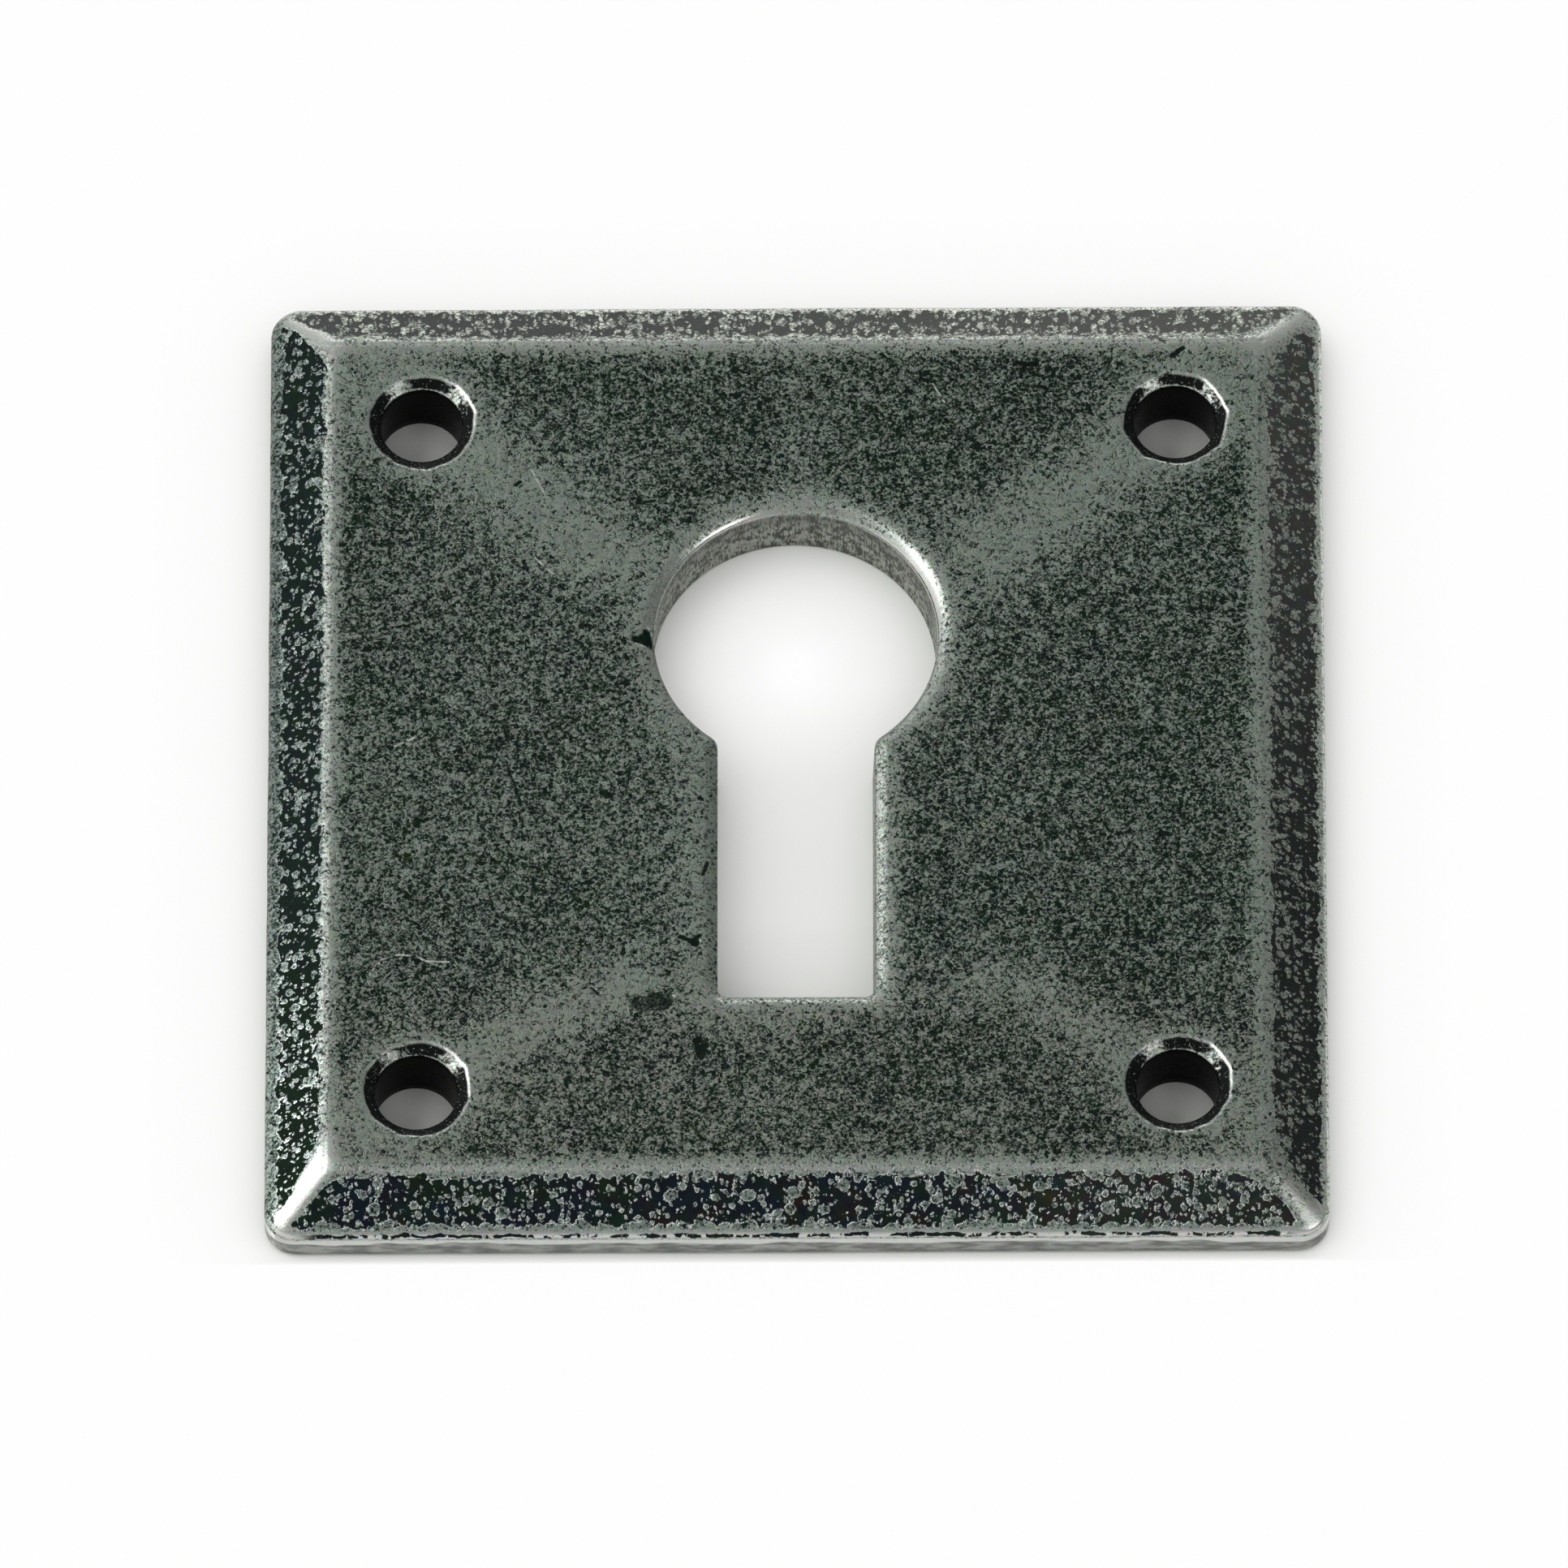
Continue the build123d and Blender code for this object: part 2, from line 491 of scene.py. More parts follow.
# %% Marks
# Line in millimetres, half width, depth, darkness.
DENTS = [
    ([(-7.6, 6.1), (-6.8, 5.84)], 0.17, 0.16, 1.0),
    ([(-7.06, 6.52), (-6.9, 5.95)], 0.16, 0.16, 1.0),
    ([(-7.2, 6.14), (-7.0, 6.12)], 0.26, 0.16, 1.0),
    ([(-7.4, -13.42), (-6.3, -13.5)], 0.42, 0.06, 0.68),
    ([(-6.7, -13.15), (-6.05, -13.3)], 0.34, 0.06, 0.66),
    ([(-4.62, -15.45), (-4.48, -16.2)], 0.26, 0.06, 0.82),
    ([(-4.3, -15.75), (-4.35, -15.95)], 0.22, 0.06, 0.8),
    ([(-5.5, -9.94), (-4.92, -10.16), (-4.55, -9.86)], 0.11, 0.05, 0.9),
    ([(-4.79, -10.26), (-4.75, -10.26)], 0.19, 0.1, 1.0),
    ([(-4.4, -6.6), (-4.18, -5.95)], 0.09, 0.05, 1.0),
    ([(-9.15, -2.2), (-8.76, -2.36)], 0.14, 0.08, 1.0),
    ([(-4.55, -2.5), (-4.45, -2.56)], 0.11, 0.05, 1.0),
    ([(-7.96, -1.75), (-7.8, -0.75)], 0.055, 0.04, 0.9),
    ([(-9.64, -12.66), (-9.3, -13.0)], 0.07, 0.05, 0.95),
    ([(-7.5, 13.4), (-6.7, 13.52)], 0.08, 0.04, 0.9),
    ([(-11.5, 16.1), (-11.2, 16.33), (-10.85, 16.22)], 0.09, 0.04, 0.85),
    ([(-13.28, 14.42), (-13.08, 14.58)], 0.09, 0.05, 1.0),
    ([(-11.18, 8.98), (-11.0, 8.76)], 0.08, 0.05, 1.0),
    ([(10.48, 20.98), (10.9, 20.88), (11.45, 20.88)], 0.11, 0.1, 1.0),
    ([(10.86, 20.9), (10.82, 20.5)], 0.1, 0.08, 1.0),
    ([(17.85, 21.3), (18.4, 21.75)], 0.14, 0.05, 0.85),
    ([(17.05, 22.5), (17.5, 22.1)], 0.1, 0.05, 1.0),
    ([(-13.7, -0.5), (-13.0, -2.7)], 0.045, 0.03, 0.95),
    ([(-13.1, 0.15), (-13.12, -0.5)], 0.055, 0.03, 0.95),
    ([(-13.68, 17.0), (-13.68, 14.95)], 0.035, 0.03, 0.8),
]
DENT_DOTS = [
    (-10.12, -10.19), (-8.46, -14.88), (-3.66, -14.29), (-9.93, -6.55), (-9.93, 9.13), (-8.66, 7.98),
    (-9.93, 6.8), (-7.97, 3.6), (19.8, 3.0),
]
DENTS += [([(x - 0.05, y), (x + 0.05, y + 0.04)], 0.09, 0.05, 0.95) for x, y in DENT_DOTS]
SCRATCHES = [
    [(-12.57, 15.25), (-11.91, 13.93)],
    [(-12.36, 10.45), (-11.51, 9.57)],
    [(-20.05, -11.85), (-19.5, -11.1), (-18.65, -10.85), (-17.85, -10.95), (-17.4, -11.2), (-16.35, -11.25)],
    [(-18.95, 0.3), (-18.0, 0.8)],
    [(6.5, 19.8), (7.05, 18.8)],
]
SCRATCH_HALF = 0.05
print(len(DENTS), "dents and", len(SCRATCHES), "scratches")


# %% Distance to a drawn line
def line_distance(x, y, line):
    nearest = np.full(np.shape(x), np.inf)
    for (ax, ay), (bx, by) in zip(line, line[1:]):
        length = (bx - ax) ** 2 + (by - ay) ** 2
        share = np.clip(((x - ax) * (bx - ax) + (y - ay) * (by - ay)) / length, 0, 1)
        nearest = np.minimum(nearest, np.hypot(x - ax - share * (bx - ax), y - ay - share * (by - ay)))
    return nearest


def mark_gap(x, y):
    """Distance to the edge of the nearest mark; below 0 inside it."""
    gaps = [line_distance(x, y, line) - half for line, half, _, _ in DENTS]
    gaps += [line_distance(x, y, line) - SCRATCH_HALF for line in SCRATCHES]
    return np.min(gaps, axis=0)


# %% [markdown]
# ## Collecting the skin
#
# The rings are joined into bands of four-sided faces. Every corner of a face also gets a place on a flat
# sheet: the front as it is seen from above, and the sides and walls unrolled into strips beside it. The finish
# can then be laid out flat without stretching.

# %% Bands
points, faces, sheet_places = [], [], []
SHEET_SCALE = 0.72 / (2 * PLATE_HALF)


def front_place(point):
    return (0.01 + (point[0] + PLATE_HALF) * SHEET_SCALE, 0.01 + (point[1] + PLATE_HALF) * SHEET_SCALE)


def back_place(point):
    return (0.75 + (point[0] + PLATE_HALF) * SHEET_SCALE / 3, 0.01 + (point[1] + PLATE_HALF) * SHEET_SCALE / 3)


def add_points(rows):
    start = len(points)
    points.extend(map(tuple, rows))
    return start


def add_band(rings, place):
    """Join closed rings of equal count; place gives the flat place of a row and a column."""
    starts = [add_points(ring) for ring in rings]
    count = len(rings[0])
    for row, (lower, upper) in enumerate(zip(starts, starts[1:])):
        for k in range(count):
            n = (k + 1) % count
            faces.append((lower + k, lower + n, upper + n, upper + k))
            corners = ((row, k), (row, k + 1), (row + 1, k + 1), (row + 1, k))
            sheet_places.append([place(row, r, c, k) for r, c in corners])
    return starts


# %% Border, keyhole and screw holes
ring_count, keyhole_count = len(outer_ring), len(keyhole_line)
quarter_count = ring_count // 4


def border_place(row, r, c, k):
    """The slope lies with the front; the upright side is four strips above it."""
    if row >= SLOPE_ROW:
        return front_place(border_rings[r][c % ring_count])
    side = k // quarter_count
    return (
        0.01 + 0.71 * (c - side * quarter_count) / quarter_count,
        0.745 + 0.043 * side + (border_climb[r] - border_climb[0]) * SHEET_SCALE,
    )


def strip_place(left, bottom, width, rows, step):
    def place(row, r, c, k):
        return (left + width * c / rows, bottom + step * r)

    return place


border_starts = add_band(border_rings, border_place)
keyhole_starts = add_band(keyhole_rings, strip_place(0.01, 0.925, 0.95, keyhole_count, 0.0026))
hole_starts = []
for number, rings in enumerate(all_hole_rings):
    hole_starts.append(add_band(rings, strip_place(0.75, 0.29 + 0.075 * number, 0.23, HOLE_COUNT, 0.0035)))
print("bands:", len(points), "points,", len(faces), "faces")

# %% [markdown]
# ## Filling the front and the back
#
# The front is a flat sheet with five openings. A loose hexagonal scatter of points inside it, joined by
# Blender's own triangulation, gives an even net that meets the rings exactly. The back is filled the same way
# with a much wider net, because it lies on the door.


# %% Distance to the openings
def keyhole_distance(x, y):
    """How far a point of the metal is from the keyhole's wall."""
    to_round = np.hypot(x, y - ROUND_Y) - ROUND_RADIUS
    middle_y, half_y = (ROUND_Y + FOOT_Y) / 2, (ROUND_Y - FOOT_Y) / 2
    dx, dy = np.abs(x) - SLOT_HALF, np.abs(y - middle_y) - half_y
    to_slot = np.hypot(np.maximum(dx, 0), np.maximum(dy, 0)) + np.minimum(np.maximum(dx, dy), 0)
    return np.minimum(to_round, to_slot)


def screw_distance(x, y):
    """How far a point is from the nearest screw hole's mouth."""
    return np.min([np.hypot(x - h["x"], y - h["y"]) for h in HOLES], axis=0) - MOUTH_RADIUS


# %% Scatter of points
def scatter(x_range, y_range, step, dice):
    """A loose hexagonal scatter over a rectangle."""
    places = []
    for j in range(int((y_range[1] - y_range[0]) / (0.866 * step)) + 1):
        for i in range(int((x_range[1] - x_range[0]) / step) + 1):
            x = x_range[0] + (i + 0.5 * (j % 2) + dice.uniform(-0.16, 0.16)) * step
            places.append((x, y_range[0] + (0.866 * j + dice.uniform(-0.16, 0.16)) * step))
    return np.array(places)


def room_around(places, half, opening_gap):
    """Distance from each place to the nearest ring of the sheet."""
    x, y = places[:, 0], places[:, 1]
    edge = half - np.maximum(np.abs(x), np.abs(y))
    to_openings = (keyhole_distance(x, y) - opening_gap[0], screw_distance(x, y) - opening_gap[1])
    return np.min([edge, *to_openings], axis=0)


FRONT_STEP, MARK_STEP, SCRATCH_STEP = 0.3, 0.075, 0.04
FRONT_HALF = PLATE_HALF - FACE_START
FRONT_GAPS = (SHOULDER_WIDTH, MOUTH_ROUND[0][0])
dice = random.Random(3)
front_places = scatter((-FRONT_HALF, FRONT_HALF), (-FRONT_HALF, FRONT_HALF), FRONT_STEP, dice)
front_places = front_places[room_around(front_places, FRONT_HALF, FRONT_GAPS) > 0.55 * FRONT_STEP]
front_places = front_places[mark_gap(front_places[:, 0], front_places[:, 1]) > 0.28]
marked = []
drawn = [(line, half, MARK_STEP, 0.17) for line, half, _, _ in DENTS]
drawn += [(line, SCRATCH_HALF, SCRATCH_STEP, 0.06) for line in SCRATCHES]
for line, half, step, margin in drawn:
    xs, ys = [p[0] for p in line], [p[1] for p in line]
    reach = half + margin
    near = scatter((min(xs) - reach, max(xs) + reach), (min(ys) - reach, max(ys) + reach), step, dice)
    near = near[line_distance(near[:, 0], near[:, 1], line) < reach]
    if marked:
        taken = np.concatenate(marked)
        apart = [np.min(np.hypot(*(taken - p).T)) > 0.6 * step for p in near]
        near = near[np.array(apart, bool)]
    marked.append(near[room_around(near, FRONT_HALF, FRONT_GAPS) > 0.05])
front_places = np.concatenate([front_places] + marked)
print("front scatter of", len(front_places), "points,", sum(map(len, marked)), "of them on marks")


# %% Net between the rings
def inside_ring(x, y, ring):
    """Whether a place lies inside a closed ring, by counting crossings of a line to its right."""
    start, count = ring
    inside = False
    for k in range(count):
        (ax, ay), (bx, by) = points[start + k][:2], points[start + (k + 1) % count][:2]
        if (ay > y) != (by > y) and x < ax + (y - ay) / (by - ay) * (bx - ax):
            inside = not inside
    return inside


def fill_sheet(rings, places, height, place, upward):
    """Fill the sheet inside the first ring and outside the others."""
    index, flat, edges, ring_of = [], [], [], []
    for number, (start, count) in enumerate(rings):
        base = len(index)
        index.extend(range(start, start + count))
        flat.extend(points[k][:2] for k in range(start, start + count))
        ring_of.extend([number] * count)
        edges.extend((base + k, base + (k + 1) % count) for k in range(count))
    first = add_points(np.column_stack([places, np.full(len(places), height)]))
    index.extend(range(first, first + len(places)))
    flat.extend(map(tuple, places))
    ring_of.extend([-1] * len(places))
    found = delaunay_2d_cdt([Vector(p) for p in flat], edges, [], 0, 1e-7)
    source = [ids[0] for ids in found[3]]
    made = 0
    for triangle in found[2]:
        a, b, c = (source[k] for k in triangle)
        if ring_of[a] == ring_of[b] == ring_of[c] > 0:
            middle = [(flat[a][axis] + flat[b][axis] + flat[c][axis]) / 3 for axis in (0, 1)]
            if inside_ring(*middle, rings[ring_of[a]]):
                continue
        corner = (index[a], index[b], index[c]) if upward else (index[c], index[b], index[a])
        faces.append(corner)
        sheet_places.append([place(points[k]) for k in corner])
        made += 1
    return made


# %% Front and back
front_rings = [(border_starts[-1], ring_count), (keyhole_starts[0], keyhole_count)]
front_rings += [(starts[0], HOLE_COUNT) for starts in hole_starts]
front_made = fill_sheet(front_rings, front_places, THICKNESS, front_place, True)

BACK_STEP = 0.9
back_half = PLATE_HALF - BACK_EDGE
back_places = scatter((-back_half, back_half), (-back_half, back_half), BACK_STEP, random.Random(5))
back_gaps = (KEYHOLE_BACK_EDGE + 0.2, BORE_RADIUS - MOUTH_RADIUS)
back_places = back_places[room_around(back_places, back_half, back_gaps) > 0.4 * BACK_STEP]
back_rings = [(border_starts[0], ring_count), (keyhole_starts[-1], keyhole_count)]
back_rings += [(starts[-1], HOLE_COUNT) for starts in hole_starts]
back_made = fill_sheet(back_rings, back_places, 0.0, back_place, False)
triangles = sum(len(f) - 2 for f in faces)
print("front", front_made, "and back", back_made, "triangles; the whole skin has", triangles)

# %% Smooth skin
skin_mesh = bpy.data.meshes.new("escutcheon_skin")
skin_mesh.from_pydata(points, [], faces)
skin_mesh.polygons.foreach_set("use_smooth", [True] * len(faces))
skin_mesh.update()
even = np.array(points)
outward = np.empty(3 * len(points))
skin_mesh.vertex_normals.foreach_get("vector", outward)
outward = outward.reshape(-1, 3)
px, py, pz = even.T
print("skin of", len(points), "points")

# %% [markdown]
# ## Islands on the slope
#
# The slopes were blacked most heavily and rubbed least. What was rubbed through are small raised blisters of
# the casting: round grey islands up to nearly a millimetre across, fused into scallops along both margins of
# the slope. Each island is an ellipse thrown at random on one of the four slopes, and the scallops are islands
# thrown along a line. A point's worth is how far inside the nearest island or margin it lies, so that above 0
# it is metal and below 0 it is black.


# %% Ramps and waves at the points
def waves(places, size, seed):
    """Smooth random values between about -1 and 1 that change over about the given size."""
    shift = Vector((17.3 * seed, 5.1 * seed, 9.7 * seed))
    return np.array([noise.noise(Vector(p) / size + shift) for p in places])


def rise(value, start, length):
    """0 up to the start, then straight up to 1 over the length."""
    return np.clip((value - start) / length, 0, 1)


def fall(value, end, length):
    """1 at first, then straight down over the length to 0 at the end."""
    return np.clip((end - value) / length, 0, 1)


# %% Where a border point lies
def side_at(x, y):
    """Number of the nearest side: 0 bottom, 1 right, 2 top, 3 left."""
    return np.where(np.abs(x) > np.abs(y), np.where(x > 0, 1, 3), np.where(y > 0, 2, 0))


def at_corners(top_left, top_right, bottom_left, bottom_right):
    """The value that belongs to each border point's corner."""
    return np.where(by > 0, np.where(bx < 0, top_left, top_right), np.where(bx < 0, bottom_left, bottom_right))


border_total = len(border_rings) * ring_count
border_even = even[:border_total]
climb = np.repeat(border_climb, ring_count)
bx, by = border_even[:, 0], border_even[:, 1]
nearest_side = side_at(px, py)
side_of = nearest_side[:border_total]
on_bottom_side, on_right_side, on_top_side, on_left_side = (side_of == side for side in range(4))
way_along = np.where(on_right_side | on_left_side, by, bx)
print("border points by side", np.bincount(side_of))

# %% Margins of the black
# One value for each side: bottom, right, top, left.
BLACK_LOW = np.array([0.36, 0.34, 0.3, 0.44])
BLACK_HIGH = np.array([3.06, 3.12, 2.9, 3.24])
RIDGE_HALF, RIDGE_FLARE, RIDGE_WANDER = 0.55, 0.4, 0.2
CORNER_ROUND, ISLAND_EDGE = 1.1, 0.2
towards_face = rise(climb, 1.5, 1.6)
across_ridge = (np.abs(bx) - np.abs(by)) / math.sqrt(2)
to_ridge = np.abs(across_ridge - at_corners(0, 0, 0.35, 0) * towards_face)
ridge_half = at_corners(0.62, 1.15, 1.0, 1.2) * (RIDGE_HALF + RIDGE_FLARE * towards_face)
ridge_half += RIDGE_WANDER * waves(border_even, 0.8, 5)
below_face, beside_ridge = BLACK_HIGH[side_of] - climb, to_ridge - ridge_half
corner_round = fall(np.abs(below_face - beside_ridge), CORNER_ROUND, CORNER_ROUND) ** 2 * CORNER_ROUND / 4
black_depth = np.minimum(climb - BLACK_LOW[side_of], np.minimum(below_face, beside_ridge) - corner_round)
rubbed = np.clip(-black_depth / ISLAND_EDGE, -2, 2)
print("black share of the slope", round(float(np.mean(rubbed[climb > 0.6] < 0)), 2))


# %% Islands
def raise_island(here, centre_u, centre_v, size, stretch, lean):
    """Lift the worth of the slope's points that lie in or near one ellipse."""
    u, v = way_along[here], climb[here]
    close = here[(np.abs(u - centre_u) < 4 * size) & (np.abs(v - centre_v) < 4 * size)]
    du, dv = way_along[close] - centre_u, climb[close] - centre_v
    long_way = (du * math.cos(lean) + dv * math.sin(lean)) / stretch
    short_way = -du * math.sin(lean) + dv * math.cos(lean)
    rubbed[close] = np.maximum(rubbed[close], (size - np.hypot(long_way, short_way)) / ISLAND_EDGE)


SLOPE_REACH = 24
ISLAND_LOW, ISLAND_SPAN, ISLAND_GAP = 0.45, 2.6, 1.1


def scattered_islands(count, smallest, largest, towards, dice):
    """Places and sizes of islands that keep a thin black gap; towards above 1 crowds them to the face."""
    kept = []
    for _ in range(12 * count):
        u = dice.uniform(-SLOPE_REACH, SLOPE_REACH)
        v = ISLAND_LOW + ISLAND_SPAN * dice.random() ** (1 / towards)
        size = smallest + (largest - smallest) * dice.random() ** 2
        clear = all(math.hypot(u - a, v - b) > ISLAND_GAP * (size + other) for a, b, other in kept)
        if len(kept) < count and clear:
            kept.append((u, v, size))
    return kept


# For each side: how many islands, smallest and largest half width, how crowded to the face, longest stretch
# and range of lean.
SIDE_ISLANDS = [
    (130, 0.11, 0.32, 1.0, 1.4, (0, 3.1)),
    (190, 0.1, 0.24, 1.7, 1.4, (0, 3.1)),
    (120, 0.12, 0.22, 1.0, 1.9, (1.2, 1.9)),
    (170, 0.1, 0.24, 1.3, 1.6, (0, 3.1)),
]
MARGIN_SIZES = [(0.16, 0.36), (0.16, 0.3), (0.14, 0.3), (0.2, 0.42)]
dice = random.Random(11)
island_count = 0
for side, (count, smallest, largest, towards, stretch, lean) in enumerate(SIDE_ISLANDS):
    here = np.flatnonzero((side_of == side) & (climb > 0))
    thrown = scattered_islands(count, smallest, largest, towards, dice)
    for margin, spacing in ((BLACK_LOW[side] - 0.08, 0.5), (BLACK_HIGH[side] + 0.04, 0.46)):
        for k in range(int(2 * SLOPE_REACH / spacing)):
            place = -SLOPE_REACH + spacing * (k + dice.uniform(-0.4, 0.4))
            thrown.append((place, margin + dice.uniform(-0.1, 0.1), dice.uniform(*MARGIN_SIZES[side])))
    for centre_u, centre_v, size in thrown:
        raise_island(here, centre_u, centre_v, size, dice.uniform(1.0, stretch), dice.uniform(*lean))
    island_count += len(thrown)
print(island_count, "islands; rubbed share of the slope", round(float(np.mean(rubbed[climb > 0.6] > 0)), 2))

# %% Painted light, glints and crowding of each side
# Painted light on each side: the top is painted lighter and warmer, the right stays dull, and the left is
# greener, with painted glints on its islands that grow towards the lower corner. The outer rim is painted
# lighter on the right and darker on the left. One value for each side: bottom, right, top, left.
SIDE_LIGHT_TONES = np.array([(0.96, 1.0, 1.01), (1.0, 0.98, 0.98), (1.75, 1.64, 1.63), (0.84, 0.9, 0.93)])
RIM_PAINTED_LIGHT = np.array([0.0, 0.5, 0.0, -0.4])
SIDE_PAINTED_GLINTS = np.array([1.15, 0.12, 0.14, 0.95])
SIDE_CROWDS = np.array([-0.08, -0.15, 0.05, -0.1])
from_ridge = rise(to_ridge, 0.6 * on_top_side, 0.9)
before_face = fall(climb, 3.25 - 0.2 * on_top_side, 0.35)
lower_left_glint = on_left_side * fall(by, -4, 14)
upper_right = on_right_side * rise(by, -5, 20)
outer_rim = fall(climb, 0.75, 0.25) * from_ridge
# Painted light and shade in each side's tone, towards the lower left and on the outer rim; the right side is
# also lighter towards its upper end.
border_tone_and_light = 1 + (SIDE_LIGHT_TONES[side_of] - 1) * (from_ridge * before_face * rise(climb, 0, 0.3))[:, None]
border_tone_and_light *= (1 + 0.75 * lower_left_glint * before_face)[:, None]
border_tone_and_light *= (1 + 0.16 * upper_right * from_ridge * before_face)[:, None]
border_tone_and_light *= (1 + RIM_PAINTED_LIGHT[side_of] * outer_rim)[:, None]
# Painted glints: how brightly the islands' rims shine on each side.
border_painted_glint = SIDE_PAINTED_GLINTS[side_of] + 0.5 * lower_left_glint
border_crowd = SIDE_CROWDS[side_of] + 0.34 * on_right_side * rise(climb, 1.4, 0.8) * fall(climb, 3.05, 0.3)
border_crowd += 0.12 * on_bottom_side * rise(bx, 6, 10)
print("tones from", border_tone_and_light.min().round(2), "to", border_tone_and_light.max().round(2))

# %% [markdown]
# ## Wear on the face
#
# Hands and polishing wheels reach some places more than others. On this plate the outer edge, the rims of the
# openings and four broad bands from the screw holes towards the keyhole are rubbed lightest, and the four
# fields between them stay dark. Distances to those features make the map.


# %% Rub map
def near_to(distance, width):
    return np.exp(-((distance / width) ** 2))


# Line of each rubbed band in millimetres, how strongly it is rubbed, and its half width.
RUB_BANDS = [
    ([(-19.0, 19.0), (-13.0, 13.9), (-9.0, 10.6)], 0.86, 2.4),
    ([(19.0, 19.0), (13.0, 13.6), (9.0, 10.6)], 0.84, 2.4),
    ([(-19.5, -19.5), (-14.0, -15.6), (-7.8, -12.4)], 0.82, 1.5),
    ([(19.5, -19.5), (14.0, -15.2), (9.5, -12.6)], 0.6, 1.5),
    ([(0.0, 14.5), (0.2, 21.5)], 0.25, 0.8),
]
EDGE_WEAR = np.array([0.3, 0.55, 0.42, 0.38])
edge_distance = FRONT_HALF - np.maximum(np.abs(px), np.abs(py))
past_edge = np.maximum(edge_distance, 0)
to_keyhole, to_screw = keyhole_distance(px, py), screw_distance(px, py)
left_of_slot = (px < 0) & (py < 2)
worn = 1 - 0.8 * near_to(past_edge, EDGE_WEAR[nearest_side])
worn *= 1 - 0.7 * near_to(np.maximum(to_keyhole - 0.3, 0), np.where(left_of_slot, 1.9, 1.0))
worn *= 1 - 0.55 * near_to(np.maximum(to_screw, 0), 0.8)
for band, strength, half_width in RUB_BANDS:
    worn *= 1 - strength * near_to(line_distance(px, py, band), half_width)
worn *= 1 - 0.5 * near_to(np.hypot(np.abs(px) - 20.8, np.abs(py) - 20.8), 2.6)
blotch = 0.11 * waves(even * (1, 1, 0), 3.8, 6) + 0.07 * waves(even * (1, 1, 0), 1.4, 7)
rub = -0.29 + 0.66 * (1 - worn) + blotch * worn
rub -= worn * (0.07 * rise(px, 0, 14) + 0.05 * rise(py, 10, 4))
rub[:border_total] = np.where(climb < border_climb[-1] - 0.05, 0.04, rub[:border_total])
print("rub map from", round(float(rub.min()), 2), "to", round(float(rub.max()), 2))

# %% Polish of edges and rims
# Climb of the line where the slope meets the face. One value for each side: bottom, right, top, left.
FACE_LINE = 3.2
EDGE_STRENGTHS = np.array([0.46, 0.18, 0.38, 0.4])
FACE_WIDTHS = np.array([0.29, 0.36, 0.46, 0.36])
SLOPE_WIDTHS = np.array([0.28, 0.28, 0.28, 0.2])
LOWER_STRENGTHS = np.array([1.0, 0.4, 0.5, 0.2])
line_width = np.where(climb < FACE_LINE, SLOPE_WIDTHS[side_of], FACE_WIDTHS[side_of])
face_line = EDGE_STRENGTHS[side_of] * near_to(climb - FACE_LINE, line_width)
ridge_strength = at_corners(0.58, 0.6, 0.95, 0.15 + 0.4 * (1 - towards_face))
ridge = ridge_strength * near_to(to_ridge, 0.55 + 0.25 * towards_face) * rise(climb, 0, 0.4)
lower_edge = LOWER_STRENGTHS[side_of] * near_to(climb - 0.05, 0.24)
worn_corner = 0.9 * near_to(np.hypot(bx - 24.1, by + 24.1), 0.7)
# Less polish along the foot of the side: painted shade where it shows the shadowed paper.
upright = 0.85 * fall(climb, -0.2, 0.2) * np.maximum(rise(climb, -1.75, 0.2), 0.3)
polish = np.zeros(len(even))
polish[:border_total] = np.max([face_line, ridge, lower_edge, worn_corner, upright], axis=0)
on_face = np.arange(len(even)) >= hole_starts[-1][-1] + HOLE_COUNT
from_line = border_climb[-1] - FACE_LINE + past_edge
face_polish = EDGE_STRENGTHS[nearest_side] * near_to(from_line, FACE_WIDTHS[nearest_side])
polish[on_face] = face_polish[on_face]
print("polished points along the edges", int((polish > 0.25).sum()))

# %% Polish and painted highlights round the keyhole
at_keyhole = slice(keyhole_starts[0], keyhole_starts[-1] + keyhole_count)
wall = np.zeros(len(even))
wall[at_keyhole] = np.repeat(KEYHOLE_STAGES, keyhole_count)
round_angle = np.degrees(np.arctan2(py - ROUND_Y, px))
on_round = rise(py, 0.5, 2.0)
at_foot = fall(py, -11.8, 1.0)
# Right of the round the shoulder is worn deeper; the polish there is partly that wear and partly a painted
# highlight.
right_wear_and_highlight = on_round * near_to(round_angle - 30, 28)
rim_strength = 0.3 - 0.27 * (1 - on_round) * fall(px, 0, 3.0) * (1 - at_foot)
rim_polish = rim_strength * near_to(np.maximum(to_keyhole, 0), 0.8)
rim_polish = np.maximum(rim_polish, 0.8 * right_wear_and_highlight * near_to(np.maximum(to_keyhole - 0.2, 0), 0.4))
crisp = (wall > 0) & (wall < 1)
# The crisp line is polished where a painted highlight falls, brightest at about 116 degrees on the round.
crisp_polish_and_highlight = rim_strength + 0.6 * right_wear_and_highlight + on_round * near_to(round_angle - 116, 16)
rim_polish = np.where(crisp, crisp_polish_and_highlight, rim_polish)
shoulder_point = on_face | crisp | ((wall == 0) & (np.abs(px) < 9) & (pz > THICKNESS - 0.4))
polish = np.where(shoulder_point, np.maximum(polish, rim_polish), polish)
print("polished points with the keyhole's rim", int((polish > 0.25).sum()))

